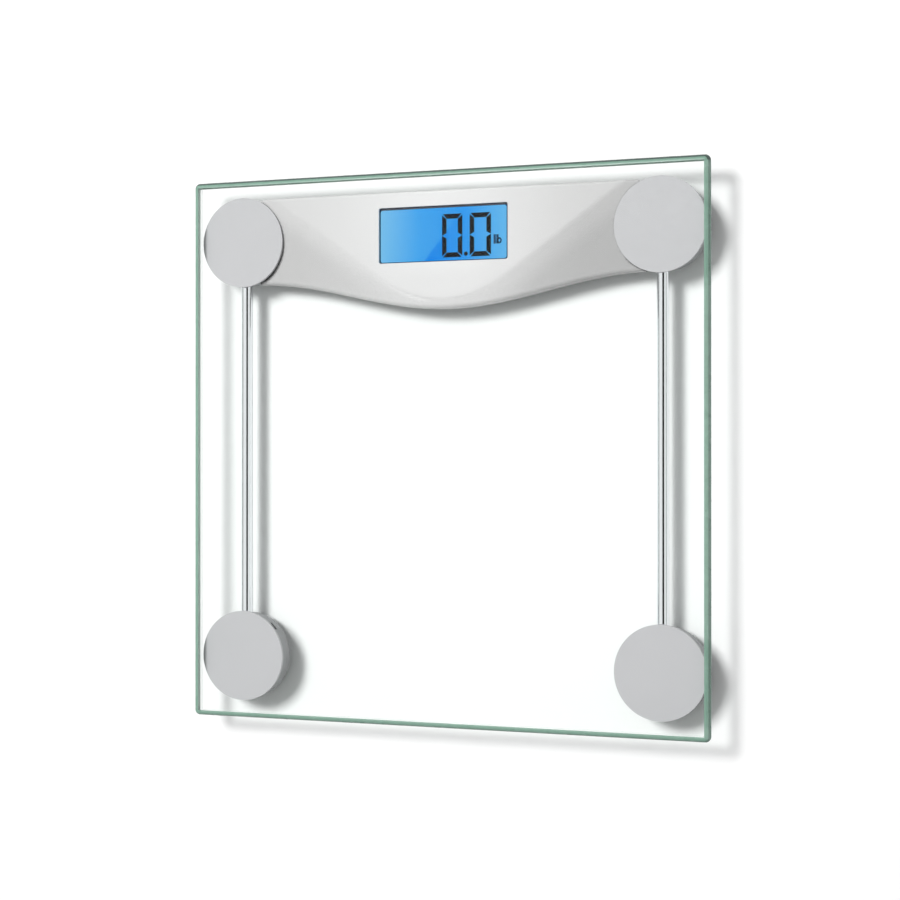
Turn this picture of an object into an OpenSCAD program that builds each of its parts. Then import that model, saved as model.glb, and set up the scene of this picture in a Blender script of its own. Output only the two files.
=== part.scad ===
// Glass bathroom scale: clear platform, four sprung feet on load cells, lit display housing.
// Millimetres. X runs to the right, Y towards the display, Z up. The feet stand on z = 0.

/* [Platform] */
// side of the square glass platform
plate_width = 300; // [260:1:330]
// glass thickness
plate_thickness = 6; // [5:0.5:8]
// radius of the glass corners, seen from above
plate_corner_radius = 3; // [2:0.5:8]
// polished chamfer on the glass edges
plate_chamfer = 0.8; // [0.3:0.1:1.5]
// height from the floor to the top of the glass
total_height = 24; // [24:0.5:28]

/* [Feet] */
// diameter of the round caps under the glass
cap_diameter = 50; // [46:1:54]
// sideways distance of the feet from the middle
corner_x = 122; // [118:1:124]
// lengthwise distance of the feet from the middle
corner_y = 116; // [112:1:120]
// upward travel of a foot under load
foot_travel = 0.6; // [0.3:0.1:0.6]
// diameter of the rubber pads
pad_diameter = 30.8; // [26:0.2:31]

/* [Tubes] */
// outside diameter of the chrome tubes
tube_diameter = 6.5; // [5:0.1:7]
// wall of the chrome tubes
tube_wall = 0.6; // [0.4:0.1:0.8]

/* [Control housing] */
// half length of the housing along X
wing_half = 112.5; // [108:0.5:114]
// far edge of the housing, from the middle of the plate
wing_top_y = 139.6; // [136:0.2:142]
// near edge of the housing at its ends
wing_end_y = 92.2; // [88:0.2:96]
// how far the near edge bows out at the middle
wing_bow = 16.3; // [10:0.1:20]
// slope of the flanks beside the flat shield, in degrees
flank_angle = 4.5; // [2:0.5:4.5]
// display window width
window_width = 75.5; // [60:0.5:78]
// display window height
window_height = 30.3; // [24:0.1:31]

/* [Hidden] */
$fn = 64;

// small overlap used only to make a cut run past a face
eps = 0.5;

// gap between parts that move past each other
running_gap = 0.3;

// heights of the stack
glass_z = total_height - plate_thickness;
cap_thickness = 1.6;
cap_z = glass_z - cap_thickness;
cap_r = cap_diameter / 2;

// foot housing
pod_r = 23.7;
pod_wall = 2;
pod_bottom_z = 6;
pod_floor = 2.4;
pod_floor_z = pod_bottom_z + pod_floor;
pod_opening_r = 14.2;
boss_pcr = 18.8;
boss_r = 2.6;
boss_angles = [0, 90, 180];
pilot_r = 1.05;
pilot_top_z = 14.5;
cap_screw_hole_r = 1.3;
cap_screw_seat_z = 7.4;
cap_screw_recess_r = 2.2;
cap_screw_head_r = 2;
cap_screw_head_z = 6.1;
cap_screw_tip_z = 13.5;
screw_shank_r = 1;
ledge_offset = 12.16;
ledge_r = 2;
cell_z = 11.1;
cell_size = 28;
cell_thickness = 2;
cell_top_z = cell_z + cell_thickness;
tube_z = 12.4;
tube_r = tube_diameter / 2;
tube_end_y = 95;
socket_gap = 0.05;
socket_face_y = 19.5;
socket_stop_y = 20.9;
socket_half_width = 4.4;

// foot
pad_height = 2.2;
pad_r = pad_diameter / 2;
foot_flange_r = 15.8;
foot_flange_top_z = pod_bottom_z - foot_travel - running_gap;
foot_floor_z = 6;
foot_shank_r = 13.8;
foot_inner_r = 11.9;
foot_top_z = 9.9;
hook_z = 8.7;
hook_r = 15.4;
hook_width = 10;
foot_post_r = 4;
foot_post_top_z = 10.2;
foot_rib_half = 0.7;
pad_step = 0.3;
groove_radii = [5, 8.5, 12];
groove_half = 0.6;
groove_depth = 0.6;

// load cell cut-outs
cell_slot = 2.2;
cell_tongue = 10;
cell_slot_length = 18;
cell_slot_margin = 5;
cell_hole_r = 1.2;
cell_hole_x = 11;
gauge_size = [6.8, 4.4, 0.3];
gauge_y = 11.9;

// wires
core_r = 0.4;
core_sides = 10;
core_bend = 1.5;
core_pitch = 0.92;
cell_wire_y = 12.6;
wire_top_z = 13.2;
wire_low_z = 12;
wire_on_cell_z = cell_top_z + core_r;
wire_slot_y = [14.8, 18.3];
wire_slot_z = [11.3, 13.8];
rear_pad_x = 42.4;
wire_lane = 15.6;
front_pad_x = 44.2;

// control housing
wing_roof = 1.4;
wing_wall = 1.4;
wing_floor = 1.5;
wing_floor_z = 3;
wing_split_z = 9.2;
wing_corner_r = 4;
pod_clear_r = 24;
cap_clear_r = 25.4;
cap_clear_z = 16.1;
end_wall_r = 25.2;
end_wall_top_r = 26.8;
end_wall_step_z = 15;
outline_steps = 24;
outline_reach = 115;

// flat shield on the housing: straight flanks that blend into a curve at the middle
crease_y = 81;
crease_slope = 0.695;
crease_half = 37;
crease_planes = 3;

// display stack
display_y = 116.25;
window_corner_r = 1.2;
gasket_z = 16.2;
gasket_thickness = 0.4;
gasket_outer = [80, 35.4, 1.5];
gasket_inner = [76.5, 31.3, 1.2];
lcd_thickness = 2;
lcd_z = gasket_z - lcd_thickness;
lcd_half = 39.5;
lcd_y = [99.2, 133.5];
lcd_ledge = 2.4;
guide_thickness = 2.5;
guide_z = lcd_z - guide_thickness;
frame_floor = 0.6;
frame_z = guide_z - frame_floor;
guide_half = 38.4;
guide_y = [101.8, 132.8];
led_y = [106, 113, 120, 127];
led_x = 39.3;
led_size = [1.3, 3, 2];
frame_half = 41;
frame_y = [97.25, 135.25];
frame_leg = [39, 99, 133.6];
frame_leg_r = 1.5;
zebra_half = 36;
zebra_y = [99.3, 101];
board_z = 8.6;
board_thickness = 1.2;
board_top_z = board_z + board_thickness;
board_size = [90.8, 40];
board_boss = [43.3, 12];
board_boss_r = 1.9;
board_pilot_r = 0.9;
board_shank_r = 0.85;

// unit button under the board
button_x = -25;
button_y = 108;
button_r = 3.8;
button_hole_r = 4.1;
button_flange_r = 5;
button_z = 3.4;
plunger_r = 1.2;
plunger_bore_r = 1.3;
plunger_z = 6.2;
button_top_z = 5.6;
switch_size = [6, 6, 1.6];

// battery bay, right of the display
cell_r = 5.25;
cell_length = 44.5;
cell_axis_z = 9.8;
cell_x = 49.5;
cell_1_y = 113;
cell_2_y = 124.4;
cell_end_x = cell_x + cell_length;
nub_r = 1.9;
nub_height = 0.9;
bay_y = [107.2, 130.2];
bay_wall_y = [105.4, 132];
bay_x = 47.1;
bay_end_wall = 1.2;
contact_x = 47.3;
contact_thickness = 0.4;
bridge_x = 95.2;
contact_half = 4.4;
contact_z = [5.2, 13.8];
bridge_y = [108.5, 129];
bridge_top_z = 13.4;
bay_far_x = 96.7;
lead_r = 0.5;
lead_x = [46.2, 44.4];
lead_z = [12.8, 11.6];
door_x = [48.4, 94.9];
door_y = [107.7, 129.7];
door_top_z = 4.4;
latch_y = [117.2, 120.2];
latch_x = [1.5, 0.5];
latch_top_z = 6;
grip_y = [112, 125.4];
grip_count = 4;
grip_pitch = 2.4;
grip_width = 1.2;
grip_start = 11;
grip_depth_z = 3.4;
hinge_x = 48.9;
hinge_z = 4.2;
hinge_pin_r = 0.8;
hinge_bore_r = 0.85;
knuckle_r = 1.2;
knuckle_length = 1.6;
hinge_pin_length = 1.5;
hinge_clear = 1.6;

// underside of the housing
cover_margin = 1;
collar_wall = 1.2;
collar_top_z = 6;
rib_x = [-90, -76];
rib_size = [1.2, 134, 4];
label_x = [-92, -48];
label_y = [103, 125];
label_thickness = 0.15;

// cover screws
cover_screw_points = [[60, 135.4], [-60, 135.4], [60, 93.5], [-60, 93.5], [20, 85], [-20, 85]];
cover_boss_r = 2.4;
cover_foot_r = 2.9;
cover_recess_r = 2.1;
cover_seat_z = 5;
cover_head_z = 3.6;
cover_head_r = 1.9;
cover_tip_z = 14;
cover_pilot_top_z = 14.6;

function low_y(x) = wing_end_y - wing_bow * (1 + cos(180 * x / outline_reach)) / 2;
function wing_x(i) = -wing_half + 2 * wing_half * i / outline_steps;

// ---- helpers ----

// places a child at a corner: local -X and -Y point to the middle of the plate
module at_corner(side, end) {
    translate([side * corner_x, end * corner_y, 0])
        mirror([side < 0 ? 1 : 0, 0, 0])
            mirror([0, end < 0 ? 1 : 0, 0])
                children();
}

// upright cylinder from z0 to z1
module rod(r, z0, z1) {
    translate([0, 0, z0])
        cylinder(r = r, h = z1 - z0);
}

// box given by two opposite corners
module span(a, b) {
    translate(a)
        cube(b - a);
}

// flat rectangle with round corners
module round_rect(w, h, r) {
    square([w - 2 * r, h], center = true);
    square([w, h - 2 * r], center = true);
    for (x = [-1, 1]) {
        for (y = [-1, 1]) {
            translate([x * (w / 2 - r), y * (h / 2 - r)])
                circle(r = r);
        }
    }
}

// unit vector
function unit(v) = v / norm(v);

// direction of a path's length i, and of the mitre plane at its point i
function heading(path, i) = unit(path[i + 1] - path[i]);
function mitre(path, i) =
    i == 0 ? heading(path, 0)
    : i == len(path) - 1 ? heading(path, i - 1)
    : unit(heading(path, i - 1) + heading(path, i));

// first ring of a swept core, and the rings that follow from it
function first_ring(path, r) =
    let (d = heading(path, 0))
    let (u = unit(cross(d, abs(d[2]) < 0.9 ? [0, 0, 1] : [1, 0, 0])))
    let (v = cross(d, u))
    [
        for (j = [0 : core_sides - 1])
            let (a = 360 * j / core_sides)
            path[0] + r * (u * cos(a) + v * sin(a))
    ];
function next_ring(path, ring, i) =
    let (d = heading(path, i - 1), n = mitre(path, i))
    [for (q = ring) q + d * (((path[i] - q) * n) / (d * n))];
function rings(path, r, i) =
    i == 0 ? [first_ring(path, r)]
    : let (before = rings(path, r, i - 1))
      concat(before, [next_ring(path, before[i - 1], i)]);

// a path with its corners cut by short bends
function bent(points, bend) = concat(
    [points[0]],
    [
        for (i = [1 : len(points) - 2])
            let (p = points[i], back = -heading(points, i - 1), on = heading(points, i))
            let (b = min(bend, 0.45 * min(norm(p - points[i - 1]), norm(points[i + 1] - p))))
            for (q = [p + back * b, p + (back + on) * b * 0.3, p + on * b]) q
    ],
    [points[len(points) - 1]]
);

// insulated core swept along a path
module core(points, r) {
    path = bent(points, core_bend);
    last = len(path) - 1;
    n = core_sides;
    all_rings = rings(path, r, last);
    side_faces = [
        for (i = [0 : last - 1])
            for (j = [0 : n - 1])
                [i * n + j, (i + 1) * n + j, (i + 1) * n + (j + 1) % n, i * n + (j + 1) % n]
    ];
    start_face = [for (j = [0 : n - 1]) j];
    end_face = [for (j = [0 : n - 1]) last * n + n - 1 - j];
    polyhedron(
        points = [for (ring = all_rings) for (q = ring) q],
        faces = concat(side_faces, [start_face, end_face]),
        convexity = 8
    );
}

// cross-head screw pointing up: head from z0 to z1, shank to z2
module screw(head_r, shank_r, z0, z1, z2) {
    difference() {
        union() {
            rod(head_r, z0, z1);
            rod(shank_r, z1, z2 - shank_r);
            translate([0, 0, z2 - shank_r])
                cylinder(r1 = shank_r, r2 = shank_r / 3, h = shank_r);
        }
        for (a = [0, 90]) {
            rotate([0, 0, a])
                translate([-head_r * 0.6, -head_r * 0.12, z0 - eps])
                    cube([head_r * 1.2, head_r * 0.24, eps + (z1 - z0) * 0.5]);
        }
    }
}

// conical contact spring along Z, built as a swept round wire
module cone_spring(r_big, r_small, height, turns, wire_r) {
    steps = 12 * turns;
    sides = 8;
    points = [
        for (i = [0 : steps])
            for (j = [0 : sides - 1])
                let (t = i / steps, a = 360 * turns * t, b = 360 * j / sides)
                let (r = r_big + (r_small - r_big) * t + wire_r * cos(b))
                [r * cos(a), r * sin(a), wire_r + (height - 2 * wire_r) * t + wire_r * sin(b)]
    ];
    side_faces = [
        for (i = [0 : steps - 1])
            for (j = [0 : sides - 1])
                [i * sides + j, i * sides + (j + 1) % sides,
                 (i + 1) * sides + (j + 1) % sides, (i + 1) * sides + j]
    ];
    start_face = [[for (j = [0 : sides - 1]) sides - 1 - j]];
    end_face = [[for (j = [0 : sides - 1]) steps * sides + j]];
    polyhedron(points = points, faces = concat(side_faces, start_face, end_face), convexity = 6);
}

// ---- platform ----

module glass_platform() {
    half = plate_width / 2;
    color([0.75, 0.9, 0.84, 0.4])
        difference() {
            translate([0, 0, glass_z])
                linear_extrude(height = plate_thickness)
                    round_rect(plate_width, plate_width, plate_corner_radius);
            for (a = [0, 90, 180, 270]) {
                for (z = [glass_z, total_height]) {
                    rotate([0, 0, a])
                        translate([half, 0, z])
                            rotate([0, 45, 0])
                                cube([plate_chamfer * sqrt(2), plate_width + 1,
                                      plate_chamfer * sqrt(2)], center = true);
                }
            }
        }
}

module tube(side) {
    color([0.85, 0.86, 0.88])
        translate([side * corner_x, -tube_end_y, tube_z])
            rotate([-90, 0, 0])
                difference() {
                    cylinder(r = tube_r, h = 2 * tube_end_y);
                    translate([0, 0, -eps])
                        cylinder(r = tube_r - tube_wall, h = 2 * tube_end_y + 2 * eps);
                }
}

// ---- corner units ----

// round cap bonded under the glass, with three screw bosses
module corner_cap() {
    color([0.78, 0.79, 0.81])
        difference() {
            union() {
                rod(cap_r, cap_z, glass_z);
                for (a = boss_angles) {
                    rotate([0, 0, a])
                        translate([boss_pcr, 0, 0])
                            rod(boss_r, pod_floor_z, cap_z + eps);
                }
            }
            for (a = boss_angles) {
                rotate([0, 0, a])
                    translate([boss_pcr, 0, 0])
                        rod(pilot_r, pod_floor_z - eps, pilot_top_z);
            }
        }
}

// round shell that holds the load cell and guides the foot
module foot_housing() {
    color([0.6, 0.61, 0.63])
        difference() {
            union() {
                difference() {
                    rod(pod_r, pod_bottom_z, cap_z);
                    rod(pod_r - pod_wall, pod_floor_z, cap_z + eps);
                }
                intersection() {
                    rod(pod_r, pod_bottom_z, cap_z);
                    span([-socket_half_width, -pod_r, pod_bottom_z],
                         [socket_half_width, -socket_face_y, cap_z]);
                }
                for (x = [-1, 1]) {
                    for (y = [-1, 1]) {
                        translate([x * ledge_offset, y * ledge_offset, 0])
                            rod(ledge_r, pod_bottom_z + 1, cell_z);
                    }
                }
            }
            rod(pod_opening_r, pod_bottom_z - eps, pod_floor_z + eps);
            for (a = boss_angles) {
                rotate([0, 0, a])
                    translate([boss_pcr, 0, 0]) {
                        rod(cap_screw_hole_r, pod_bottom_z, pod_floor_z + eps);
                        rod(cap_screw_recess_r, pod_bottom_z - eps, cap_screw_seat_z);
                    }
            }
            translate([0, -socket_stop_y, tube_z])
                rotate([90, 0, 0])
                    cylinder(r = tube_r + socket_gap, h = pod_r);
            translate([0, -socket_face_y + eps, tube_z])
                rotate([90, 0, 0])
                    cylinder(r = tube_r - tube_wall, h = pod_r);
            span([-pod_r - eps, -wire_slot_y[1], wire_slot_z[0]],
                 [-ledge_offset, -wire_slot_y[0], wire_slot_z[1]]);
        }
}

// spring-steel plate with a middle tongue that bends under load
module load_cell() {
    half = cell_size / 2;
    slot_y = cell_slot_margin - half;
    color([0.72, 0.73, 0.75])
        difference() {
            translate([0, 0, cell_z])
                linear_extrude(height = cell_thickness)
                    round_rect(cell_size, cell_size, 2);
            for (x = [-1, 1]) {
                translate([x * (cell_tongue + cell_slot) / 2 - cell_slot / 2, slot_y, cell_z - eps])
                    cube([cell_slot, cell_slot_length, cell_thickness + 2 * eps]);
            }
            translate([-cell_tongue / 2 - cell_slot, slot_y + cell_slot_length - cell_slot,
                       cell_z - eps])
                cube([cell_tongue + 2 * cell_slot, cell_slot, cell_thickness + 2 * eps]);
            for (x = [-1, 1]) {
                translate([x * cell_hole_x, 0, 0])
                    rod(cell_hole_r, cell_z - eps, cell_top_z + eps);
            }
        }
}

// sprung foot with four snap hooks over the housing's rim
module foot() {
    color([0.25, 0.26, 0.28]) {
        rod(foot_flange_r, pad_height, foot_flange_top_z);
        rod(foot_shank_r, pad_height, foot_floor_z);
        rod(foot_post_r, pad_height, foot_post_top_z);
        difference() {
            union() {
                rod(foot_shank_r, foot_floor_z, foot_top_z);
                for (a = [0, 90, 180, 270]) {
                    rotate([0, 0, a])
                        intersection() {
                            rod(hook_r, hook_z, foot_top_z);
                            span([0, -hook_width / 2, hook_z],
                                 [hook_r + eps, hook_width / 2, foot_top_z]);
                        }
                }
            }
            rod(foot_inner_r, foot_floor_z, foot_top_z + eps);
        }
        for (a = [45, 135]) {
            rotate([0, 0, a])
                span([-foot_inner_r - eps, -foot_rib_half, foot_floor_z - 1],
                     [foot_inner_r + eps, foot_rib_half, foot_top_z - 1]);
        }
    }
}

// rubber pad with ring grooves on its underside
module foot_pad() {
    color([0.12, 0.12, 0.13])
        difference() {
            union() {
                rod(pad_r, pad_step, pad_height);
                rod(pad_r - pad_step, 0, pad_height);
            }
            for (r = groove_radii) {
                difference() {
                    rod(r + groove_half, -eps, groove_depth);
                    rod(r - groove_half, -2 * eps, groove_depth + eps);
                }
            }
        }
}

// one gauge on each load cell, beside its tongue root
module strain_gauges() {
    color([0.85, 0.5, 0.15])
        for (side = [-1, 1]) {
            for (end = [-1, 1]) {
                at_corner(side, end)
                    translate([-gauge_size[0] / 2, -gauge_y, cell_top_z])
                        cube(gauge_size);
            }
        }
}

module cap_screws() {
    color([0.7, 0.71, 0.73])
        for (side = [-1, 1]) {
            for (end = [-1, 1]) {
                at_corner(side, end)
                    for (a = boss_angles) {
                        rotate([0, 0, a])
                            translate([boss_pcr, 0, 0])
                                screw(cap_screw_head_r, screw_shank_r, cap_screw_head_z,
                                      cap_screw_seat_z, cap_screw_tip_z);
                    }
            }
        }
}

// three cores from a rear load cell to the board
module wires_rear(side) {
    color([0.75, 0.15, 0.12])
        mirror([side < 0 ? 1 : 0, 0, 0])
            for (k = [0 : 2]) {
                x = corner_x - 2 + 2 * k;
                y = corner_y - wire_lane - core_pitch * k;
                core([
                    [x, corner_y - cell_wire_y, wire_on_cell_z],
                    [x, corner_y - 15, wire_on_cell_z],
                    [x, y - 0.1, wire_top_z],
                    [rear_pad_x, y, wire_top_z],
                    [rear_pad_x, y, board_top_z]
                ], core_r);
            }
}

// three cores from a front load cell, through the tube and the rear housing, to the board
module wires_front(side) {
    color([0.9, 0.9, 0.88])
        mirror([side < 0 ? 1 : 0, 0, 0])
            for (k = [0 : 2]) {
                x = corner_x - 1.2 + 1.2 * k;
                y = corner_y - wire_lane - core_pitch * (2 - k);
                core([
                    [x, -corner_y + cell_wire_y, wire_on_cell_z],
                    [x, -corner_y + 15.4, wire_on_cell_z],
                    [x, -corner_y + 18.4, tube_z],
                    [x, corner_y - 18.4, tube_z],
                    [x, y, wire_low_z],
                    [front_pad_x, y, wire_low_z],
                    [front_pad_x, y, board_top_z]
                ], core_r);
            }
}

// ---- control housing ----

// plan of the housing, drawn in by a margin
module wing_plan(margin) {
    half = wing_half - margin;
    top = wing_top_y - margin;
    lower = [
        for (i = [0 : outline_steps])
            [wing_x(i) * half / wing_half, low_y(wing_x(i)) + margin]
    ];
    arc_x = half - wing_corner_r;
    arc_y = top - wing_corner_r;
    right = [
        for (a = [0 : 15 : 90])
            [arc_x + wing_corner_r * cos(a), arc_y + wing_corner_r * sin(a)]
    ];
    left = [
        for (a = [90 : 15 : 180])
            [-arc_x + wing_corner_r * cos(a), arc_y + wing_corner_r * sin(a)]
    ];
    polygon(concat(lower, right, left));
}

// everything above the sloping flanks, for a shield whose flat top is at z
module flank_cut(z) {
    for (t = [-crease_planes : crease_planes]) {
        x = crease_half * t / crease_planes;
        y = crease_y + crease_slope * x * x / (2 * crease_half);
        translate([x, y, z])
            rotate([0, 0, atan(crease_slope * t / crease_planes)])
                rotate([flank_angle, 0, 0])
                    translate([-150, -100, 0])
                        cube([300, 100, 30]);
    }
}

module rod_at_pods(r, z0, z1) {
    for (side = [-1, 1]) {
        translate([side * corner_x, corner_y, 0])
            rod(r, z0, z1);
    }
}

module window(w, h, r, z0, z1) {
    translate([0, display_y, z0])
        linear_extrude(height = z1 - z0)
            round_rect(w, h, r);
}

// a board screw position in each quarter
module at_board_bosses() {
    for (x = [-1, 1]) {
        for (y = [-1, 1]) {
            translate([x * board_boss[0], display_y + y * board_boss[1], 0])
                children();
        }
    }
}

module top_cover() {
    color([0.86, 0.87, 0.89])
        difference() {
            union() {
                difference() {
                    translate([0, 0, wing_split_z])
                        linear_extrude(height = glass_z - wing_split_z)
                            wing_plan(0);
                    difference() {
                        translate([0, 0, wing_split_z - eps])
                            linear_extrude(height = glass_z - wing_roof - wing_split_z + eps)
                                wing_plan(wing_wall);
                        flank_cut(glass_z - wing_roof);
                        rod_at_pods(end_wall_r, wing_split_z - 2 * eps, glass_z);
                        rod_at_pods(end_wall_top_r, end_wall_step_z, glass_z);
                    }
                }
                for (p = cover_screw_points) {
                    translate([p[0], p[1], 0])
                        rod(cover_boss_r, wing_split_z, glass_z - wing_roof);
                }
                at_board_bosses()
                    rod(board_boss_r, board_top_z, glass_z - wing_roof + eps);
            }
            flank_cut(glass_z);
            rod_at_pods(pod_clear_r, wing_split_z - eps, glass_z + eps);
            rod_at_pods(cap_clear_r, cap_clear_z, glass_z + eps);
            window(window_width, window_height, window_corner_r, gasket_z, glass_z + eps);
            for (p = cover_screw_points) {
                translate([p[0], p[1], 0])
                    rod(pilot_r, wing_split_z - eps, cover_pilot_top_z);
            }
            at_board_bosses()
                rod(board_pilot_r, board_top_z - eps, cover_pilot_top_z);
            for (side = [0, 1]) {
                mirror([side, 0, 0])
                    span([corner_x - end_wall_r, corner_y - wire_slot_y[1], wire_slot_z[0]],
                         [wing_half - 2, corner_y - wire_slot_y[0], wire_slot_z[1]]);
            }
        }
}

module bottom_cover() {
    color([0.2, 0.21, 0.23])
        difference() {
            union() {
                difference() {
                    translate([0, 0, wing_floor_z])
                        linear_extrude(height = wing_split_z - wing_floor_z)
                            wing_plan(cover_margin);
                    difference() {
                        translate([0, 0, wing_floor_z + wing_floor])
                            linear_extrude(height = wing_split_z)
                                wing_plan(cover_margin + wing_wall);
                        rod_at_pods(end_wall_r, 0, 2 * wing_split_z);
                    }
                }
                for (p = cover_screw_points) {
                    translate([p[0], p[1], 0])
                        rod(cover_foot_r, wing_floor_z, wing_split_z);
                }
                // battery bay walls
                span([bay_x - bay_end_wall, bay_wall_y[0], wing_floor_z],
                     [bay_far_x, bay_y[0], wing_split_z]);
                span([bay_x - bay_end_wall, bay_y[1], wing_floor_z],
                     [bay_far_x, bay_wall_y[1], wing_split_z]);
                span([bay_x - bay_end_wall, bay_wall_y[0], wing_floor_z],
                     [bay_x, bay_wall_y[1], wing_split_z]);
                span([bridge_x + contact_thickness + 0.1, bay_y[0], wing_floor_z],
                     [bay_far_x, bay_y[1], wing_split_z]);
                // collar around the unit button
                translate([button_x, button_y, 0])
                    difference() {
                        rod(button_flange_r + running_gap + collar_wall, wing_floor_z, collar_top_z);
                        rod(button_flange_r + running_gap, wing_floor_z + wing_floor,
                            collar_top_z + eps);
                    }
                // stiffening ribs on the empty side
                for (x = rib_x) {
                    span([x, wing_end_y + 4, wing_floor_z],
                         [x + rib_size[0], rib_size[1], wing_floor_z + rib_size[2]]);
                }
            }
            rod_at_pods(pod_clear_r, 0, 2 * wing_split_z);
            for (p = cover_screw_points) {
                translate([p[0], p[1], 0]) {
                    rod(cap_screw_hole_r, 0, wing_split_z + eps);
                    rod(cover_recess_r, 0, cover_seat_z);
                }
            }
            translate([button_x, button_y, 0])
                rod(button_hole_r, 0, wing_floor_z + wing_floor + eps);
            // door opening
            span([hinge_x - hinge_clear, door_y[0] - running_gap, 0],
                 [door_x[1] + running_gap, door_y[1] + running_gap, wing_floor_z + wing_floor + eps]);
            // hinge bores in the bay walls
            translate([hinge_x, door_y[0] - hinge_pin_length - running_gap, hinge_z])
                rotate([-90, 0, 0])
                    cylinder(r = hinge_bore_r,
                             h = door_y[1] - door_y[0] + 2 * (hinge_pin_length + running_gap));
        }
}

module battery_door() {
    color([0.2, 0.21, 0.23])
        difference() {
            union() {
                span([door_x[0], door_y[0], wing_floor_z], [door_x[1], door_y[1], door_top_z]);
                for (y = [door_y[0], door_y[1] - knuckle_length]) {
                    translate([hinge_x, y, hinge_z])
                        rotate([-90, 0, 0])
                            cylinder(r = knuckle_r, h = knuckle_length);
                }
                for (y = [door_y[0] - hinge_pin_length, door_y[1] - knuckle_length]) {
                    translate([hinge_x, y, hinge_z])
                        rotate([-90, 0, 0])
                            cylinder(r = hinge_pin_r, h = hinge_pin_length + knuckle_length);
                }
                // latch tongue between the cells
                span([door_x[1] - latch_x[0], latch_y[0], wing_floor_z],
                     [door_x[1] - latch_x[1], latch_y[1], latch_top_z]);
            }
            // finger grip
            for (i = [0 : grip_count - 1]) {
                x = door_x[1] - grip_start + grip_pitch * i;
                span([x, grip_y[0], 0], [x + grip_width, grip_y[1], grip_depth_z]);
            }
        }
}

module display_gasket() {
    color([0.1, 0.1, 0.11])
        difference() {
            window(gasket_outer[0], gasket_outer[1], gasket_outer[2], gasket_z,
                   gasket_z + gasket_thickness);
            window(gasket_inner[0], gasket_inner[1], gasket_inner[2], gasket_z - eps,
                   gasket_z + gasket_thickness + eps);
        }
}

// two glass sheets, the lower one with a contact ledge
module lcd_panel() {
    middle_z = lcd_z + lcd_thickness / 2;
    color([0.3, 0.65, 0.95])
        union() {
            span([-lcd_half, lcd_y[0] + lcd_ledge, lcd_z], [lcd_half, lcd_y[1], middle_z]);
            span([-lcd_half, lcd_y[0], middle_z], [lcd_half, lcd_y[1], gasket_z]);
        }
}

module lcd_frame() {
    color([0.93, 0.93, 0.91])
        difference() {
            union() {
                span([-frame_half, frame_y[0], frame_z], [frame_half, frame_y[1], gasket_z]);
                for (x = [-frame_leg[0], frame_leg[0]]) {
                    for (y = [frame_leg[1], frame_leg[2]]) {
                        translate([x, y, 0])
                            rod(frame_leg_r, board_top_z, guide_z);
                    }
                }
            }
            // pocket for the display, and a slot for the rubber strip
            span([-lcd_half - 0.7, lcd_y[0] - 0.4, guide_z],
                 [lcd_half + 0.7, lcd_y[1] + 0.4, gasket_z + eps]);
            span([-zebra_half - 0.4, zebra_y[0] - 0.4, frame_z - eps],
                 [zebra_half + 0.4, zebra_y[1] + 0.4, gasket_z + eps]);
        }
}

// clear acrylic sheet that spreads the light under the display
module light_guide() {
    color([0.85, 0.92, 1])
        span([-guide_half, guide_y[0], guide_z], [guide_half, guide_y[1], lcd_z]);
}

module backlight_leds() {
    color([0.95, 0.95, 0.8])
        for (side = [-1, 1]) {
            for (y = led_y) {
                translate([side * led_x, y, guide_z + led_size[2] / 2])
                    cube(led_size, center = true);
            }
        }
}

// striped rubber connector from the board to the display's contact ledge
module zebra_strip() {
    color([0.85, 0.35, 0.5])
        span([-zebra_half, zebra_y[0], board_top_z],
             [zebra_half, zebra_y[1], lcd_z + lcd_thickness / 2]);
}

module main_pcb() {
    color([0.1, 0.42, 0.2])
        difference() {
            span([-board_size[0] / 2, display_y - board_size[1] / 2, board_z],
                 [board_size[0] / 2, display_y + board_size[1] / 2, board_top_z]);
            at_board_bosses()
                rod(1.1, board_z - eps, board_top_z + eps);
        }
}

// parts soldered under the board: potted controller, crystal and small passives
module board_components() {
    color([0.08, 0.08, 0.09]) {
        translate([4, 117, 0]) {
            rod(6, board_z - 0.5, board_z);
            translate([0, 0, board_z - 1.4])
                cylinder(r1 = 4, r2 = 6, h = 0.9);
        }
        for (p = [[-8, 125], [-8, 121], [-8, 113], [16, 110], [20, 110], [24, 124], [28, 124]]) {
            translate([p[0], p[1], board_z - 0.4])
                cube([1.6, 0.9, 0.8], center = true);
        }
        translate([22, 117, board_z - 1.2])
            cube([8, 3, 2.4], center = true);
    }
}

module pcb_screws() {
    color([0.7, 0.71, 0.73])
        at_board_bosses()
            screw(1.8, board_shank_r, board_z - 1, board_z, cover_tip_z);
}

module tact_switch() {
    color([0.15, 0.15, 0.16])
        translate([button_x, button_y, 0])
            difference() {
                translate([-switch_size[0] / 2, -switch_size[1] / 2, board_z - switch_size[2]])
                    cube(switch_size);
                rod(plunger_bore_r, board_z - switch_size[2] - eps, board_z - 0.4);
            }
}

module switch_plunger() {
    color([0.8, 0.6, 0.3])
        translate([button_x, button_y, 0])
            rod(plunger_r, plunger_z, board_z - 1);
}

module unit_button() {
    color([0.8, 0.8, 0.82])
        translate([button_x, button_y, 0]) {
            rod(button_r, button_z, button_top_z);
            rod(button_flange_r, wing_floor_z + wing_floor + running_gap, button_top_z);
            rod(plunger_r, 5, plunger_z);
        }
}

// AAA cell along X, positive end towards +X
module aaa_cell() {
    color([0.16, 0.35, 0.7])
        rotate([0, 90, 0]) {
            cylinder(r = cell_r, h = cell_length - nub_height);
            cylinder(r = nub_r, h = cell_length);
        }
}

module battery_1() {
    translate([cell_x, cell_1_y, cell_axis_z])
        aaa_cell();
}

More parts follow.
